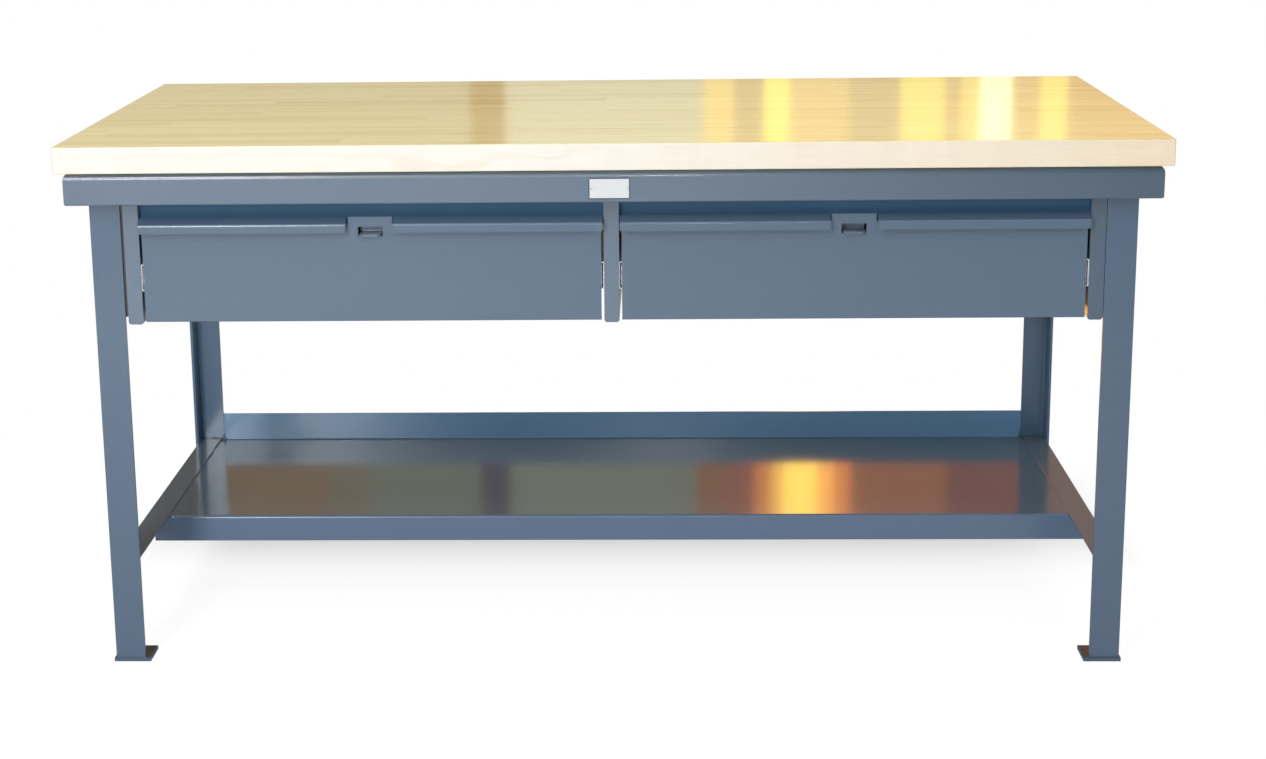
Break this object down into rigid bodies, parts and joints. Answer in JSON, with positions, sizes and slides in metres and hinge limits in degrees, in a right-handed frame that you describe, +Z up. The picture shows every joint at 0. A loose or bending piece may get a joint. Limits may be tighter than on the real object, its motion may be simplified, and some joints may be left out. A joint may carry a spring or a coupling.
{
  "type": "workbench",
  "caption": "Welded steel workbench with a laminated maple top, a folded lower shelf and side-by-side drawers on full-extension ball-bearing slides.",
  "frame": {"origin": "on the floor under the middle of the top", "axes": "+X along the bench to the right, -Y to the front where the drawers open, +Z up"},
  "size_m": [1.8288, 0.9144, 0.9081],
  "materials": {
    "maple": "oiled, edge-grain staves",
    "blue_enamel": "gloss blue-grey enamel on folded steel sheet",
    "zinc_steel": "bright zinc plating",
    "bare_aluminium": "satin, blank"
  },
  "bodies": {
    "bench": {"maple_top": "maple", "apron_front": "blue_enamel", "apron_back": "blue_enamel", "apron_left": "blue_enamel", "apron_right": "blue_enamel", "leg_front_left": "blue_enamel", "foot_plate_front_left": "blue_enamel", "leg_front_right": "blue_enamel", "foot_plate_front_right": "blue_enamel", "leg_back_left": "blue_enamel", "foot_plate_back_left": "blue_enamel", "leg_back_right": "blue_enamel", "foot_plate_back_right": "blue_enamel", "shelf_rail_left": "blue_enamel", "shelf_rail_right": "blue_enamel", "lower_shelf": "blue_enamel", "brace_left": "blue_enamel", "brace_centre": "blue_enamel", "brace_right": "blue_enamel", "drawer_hanger_left": "blue_enamel", "drawer_hanger_centre": "blue_enamel", "drawer_hanger_right": "blue_enamel", "lap_strip_left": "blue_enamel", "lap_strip_right": "blue_enamel", "front_rail_left": "blue_enamel", "front_rail_right": "blue_enamel", "padlock_tongue_left": "blue_enamel", "padlock_tongue_right": "blue_enamel", "slide_outer_left_a": "zinc_steel", "slide_outer_left_b": "zinc_steel", "slide_outer_right_a": "zinc_steel", "slide_outer_right_b": "zinc_steel", "top_lag_screws": "zinc_steel", "nameplate": "bare_aluminium"},
    "drawer_left": {"drawer_front_left": "blue_enamel", "drawer_tray_left": "blue_enamel", "drawer_back_left": "blue_enamel", "slide_inner_left_a": "zinc_steel", "slide_inner_left_b": "zinc_steel"},
    "runner_left": {"slide_middle_left_a": "zinc_steel", "slide_middle_left_b": "zinc_steel"},
    "outer_cages_left": {"ball_cage_outer_left_a": "zinc_steel", "ball_cage_outer_left_b": "zinc_steel"},
    "inner_cages_left": {"ball_cage_inner_left_a": "zinc_steel", "ball_cage_inner_left_b": "zinc_steel"},
    "drawer_right": {"drawer_front_right": "blue_enamel", "drawer_tray_right": "blue_enamel", "drawer_back_right": "blue_enamel", "slide_inner_right_a": "zinc_steel", "slide_inner_right_b": "zinc_steel"},
    "runner_right": {"slide_middle_right_a": "zinc_steel", "slide_middle_right_b": "zinc_steel"},
    "outer_cages_right": {"ball_cage_outer_right_a": "zinc_steel", "ball_cage_outer_right_b": "zinc_steel"},
    "inner_cages_right": {"ball_cage_inner_right_a": "zinc_steel", "ball_cage_inner_right_b": "zinc_steel"}
  },
  "joints": [
    {"name": "drawer_left_slide", "type": "slide", "parent": "bench", "child": "drawer_left", "axis": [0, -1, 0], "range_m": [0, 0.5]},
    {"name": "runner_left_slide", "type": "slide", "parent": "bench", "child": "runner_left", "axis": [0, -1, 0], "range_m": [0, 0.25]},
    {"name": "outer_cages_left_slide", "type": "slide", "parent": "bench", "child": "outer_cages_left", "axis": [0, -1, 0], "range_m": [0, 0.125]},
    {"name": "inner_cages_left_slide", "type": "slide", "parent": "bench", "child": "inner_cages_left", "axis": [0, -1, 0], "range_m": [0, 0.375]},
    {"name": "drawer_right_slide", "type": "slide", "parent": "bench", "child": "drawer_right", "axis": [0, -1, 0], "range_m": [0, 0.5]},
    {"name": "runner_right_slide", "type": "slide", "parent": "bench", "child": "runner_right", "axis": [0, -1, 0], "range_m": [0, 0.25]},
    {"name": "outer_cages_right_slide", "type": "slide", "parent": "bench", "child": "outer_cages_right", "axis": [0, -1, 0], "range_m": [0, 0.125]},
    {"name": "inner_cages_right_slide", "type": "slide", "parent": "bench", "child": "inner_cages_right", "axis": [0, -1, 0], "range_m": [0, 0.375]}
  ],
  "couplings": [
    {"joint": "runner_left_slide", "follows": "drawer_left_slide", "ratio": 0.5},
    {"joint": "outer_cages_left_slide", "follows": "drawer_left_slide", "ratio": 0.25},
    {"joint": "inner_cages_left_slide", "follows": "drawer_left_slide", "ratio": 0.75},
    {"joint": "runner_right_slide", "follows": "drawer_right_slide", "ratio": 0.5},
    {"joint": "outer_cages_right_slide", "follows": "drawer_right_slide", "ratio": 0.25},
    {"joint": "inner_cages_right_slide", "follows": "drawer_right_slide", "ratio": 0.75}
  ]
}
